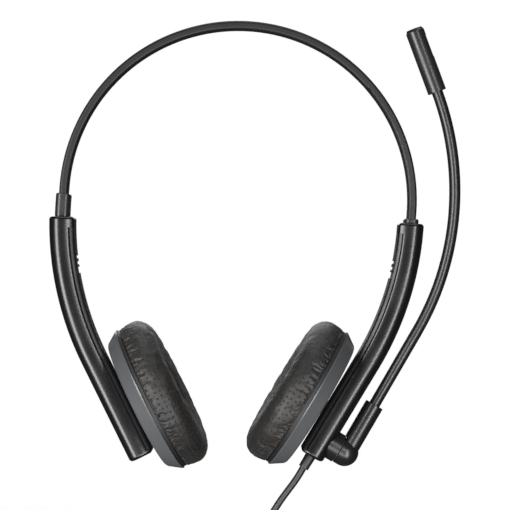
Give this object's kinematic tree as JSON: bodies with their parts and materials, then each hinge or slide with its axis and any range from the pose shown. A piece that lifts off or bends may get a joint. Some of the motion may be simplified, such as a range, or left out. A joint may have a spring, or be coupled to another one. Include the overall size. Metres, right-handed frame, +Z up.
{
  "type": "office headset",
  "caption": "Wired on-ear office headset with a sprung headband, curved sliding arms, swivelling padded ear cups and a rotating microphone boom.",
  "frame": {"origin": "underside of the headband at its crown, on the mid plane", "axes": "+Z up; +X towards the side that carries the microphone boom; +Y away from the viewer, through the loop of the headband"},
  "size_m": [0.1631, 0.0636, 0.2288],
  "materials": {
    "band_sleeve": "matte",
    "spring_steel": "satin",
    "inner_wire": "matte",
    "slider_plastic": "satin",
    "arm_gloss": "gloss",
    "arm_cover": "satin",
    "screw_steel": "satin",
    "pin_steel": "polished",
    "pivot_plastic": "matte",
    "cup_satin": "satin",
    "baffle_plastic": "matte",
    "speaker_frame": "matte",
    "magnet": "satin",
    "speaker_cone": "satin",
    "damping_cloth": "matte",
    "cushion_leather": "matte",
    "knob_plastic": "satin",
    "friction_washer": "matte",
    "boom_socket": "satin",
    "boom_rubber": "satin",
    "mic_satin": "satin",
    "mic_grille": "matte",
    "mic_element": "satin",
    "cord_relief": "satin",
    "cord_jacket": "satin",
    "cord_tie": "matte",
    "plug_grip": "matte",
    "plug_metal": "polished"
  },
  "bodies": {
    "headband": {"headband_sleeve": "band_sleeve", "headband_spring": "spring_steel", "headband_wire": "inner_wire", "slider_right": "slider_plastic", "slider_left": "slider_plastic"},
    "arm_right": {"arm_shell_right": "arm_gloss", "arm_cover_right": "arm_cover", "arm_screws_right": "screw_steel", "detent_spring_right": "spring_steel", "swivel_pin_right": "pin_steel", "boom_base": "knob_plastic", "boom_pivot_screw": "screw_steel", "friction_washer": "friction_washer", "cord_gland": "cord_relief", "cord_relief": "cord_relief", "cord_lead": "cord_jacket", "cord_coil": "cord_jacket", "cord_tie": "cord_tie", "cord_tail": "cord_jacket", "plug_grip": "plug_grip", "plug_collar": "plug_metal", "plug_pin": "plug_metal"},
    "arm_left": {"arm_shell_left": "arm_gloss", "arm_cover_left": "arm_cover", "arm_screws_left": "screw_steel", "detent_spring_left": "spring_steel", "swivel_pin_left": "pin_steel"},
    "gimbal_right": {"pivot_block_right": "pivot_plastic"},
    "gimbal_left": {"pivot_block_left": "pivot_plastic"},
    "cup_right": {"cup_housing_right": "cup_satin", "tilt_pin_right": "pin_steel", "baffle_right": "baffle_plastic", "baffle_screws_right": "screw_steel", "speaker_frame_right": "speaker_frame", "speaker_magnet_right": "magnet", "speaker_cone_right": "speaker_cone", "damping_cloth_right": "damping_cloth", "cushion_ring_right": "baffle_plastic", "ear_cushion_right": "cushion_leather"},
    "cup_left": {"cup_housing_left": "cup_satin", "tilt_pin_left": "pin_steel", "baffle_left": "baffle_plastic", "baffle_screws_left": "screw_steel", "speaker_frame_left": "speaker_frame", "speaker_magnet_left": "magnet", "speaker_cone_left": "speaker_cone", "damping_cloth_left": "damping_cloth", "cushion_ring_left": "baffle_plastic", "ear_cushion_left": "cushion_leather"},
    "boom": {"boom_knob": "knob_plastic", "boom_socket": "boom_socket", "boom_tube": "boom_rubber", "mic_housing": "mic_satin", "mic_cap": "mic_satin", "mic_grille": "mic_grille", "mic_element": "mic_element"}
  },
  "joints": [
    {"name": "arm_extend_right", "type": "hinge", "parent": "headband", "child": "arm_right", "pos_m": [-0.0515, 0, -0.07355], "axis": [0, 1, 0], "range_deg": [0, 3.5]},
    {"name": "arm_extend_left", "type": "hinge", "parent": "headband", "child": "arm_left", "pos_m": [0.0515, 0, -0.07355], "axis": [0, -1, 0], "range_deg": [-3.5, 3.5]},
    {"name": "cup_swivel_right", "type": "hinge", "parent": "arm_right", "child": "gimbal_right", "pos_m": [0.04443, 0, -0.15004], "axis": [0.454, 0, 0.891], "range_deg": [-10, 10]},
    {"name": "cup_tilt_right", "type": "hinge", "parent": "gimbal_right", "child": "cup_right", "pos_m": [0.03588, 0, -0.14568], "axis": [0, 1, 0], "range_deg": [-3, 3]},
    {"name": "cup_swivel_left", "type": "hinge", "parent": "arm_left", "child": "gimbal_left", "pos_m": [-0.03958, 0, -0.15575], "axis": [-0.5075, 0, 0.8616], "range_deg": [-10, 10]},
    {"name": "cup_tilt_left", "type": "hinge", "parent": "gimbal_left", "child": "cup_left", "pos_m": [-0.03131, 0, -0.15088], "axis": [0, 1, 0], "range_deg": [-3, 3]},
    {"name": "boom_rotate", "type": "hinge", "parent": "arm_right", "child": "boom", "pos_m": [0.05049, 0, -0.16547], "axis": [0.891, 0, -0.454], "range_deg": [-135, 135]}
  ]
}
